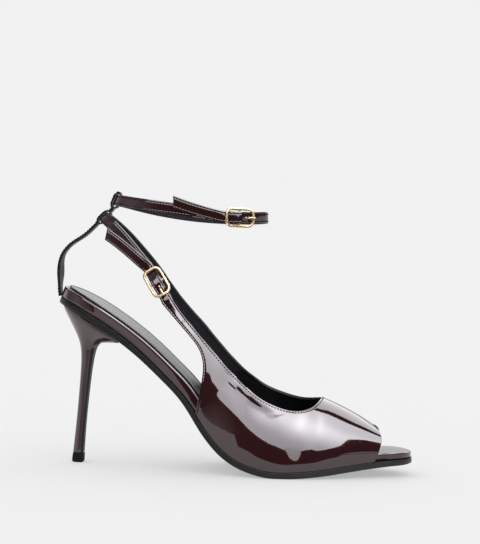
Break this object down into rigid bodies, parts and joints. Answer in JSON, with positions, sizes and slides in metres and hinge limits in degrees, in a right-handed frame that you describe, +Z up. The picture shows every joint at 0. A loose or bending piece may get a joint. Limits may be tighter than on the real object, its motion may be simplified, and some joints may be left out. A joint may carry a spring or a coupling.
{
  "type": "ankle strap heel",
  "caption": "Right patent leather stiletto with an open toe, a buckled sling strap behind the heel and a buckled ankle strap held by a tab",
  "frame": {"origin": "on the floor under the ball of the foot, in the middle of the sole's flat spot", "axes": "+X from heel to toe, +Y to the medial (inner) side, +Z up from the floor"},
  "size_m": [0.2239, 0.0773, 0.1693],
  "materials": {
    "patent_leather": "high gloss patent",
    "black_sole": "matte",
    "sock_lining": "smooth satin",
    "tip_rubber": "matte",
    "gold": "polished pale gold"
  },
  "bodies": {
    "root": {"outsole": "black_sole", "insole": "patent_leather", "sock": "sock_lining", "heel": "patent_leather", "top_piece": "tip_rubber", "upper": "patent_leather", "lateral_strap": "patent_leather", "sling_strap": "patent_leather", "back_tab": "patent_leather", "ankle_strap": "patent_leather", "sling_buckle": "gold", "sling_prong": "gold", "ankle_buckle": "gold", "ankle_prong": "gold"}
  },
  "joints": []
}
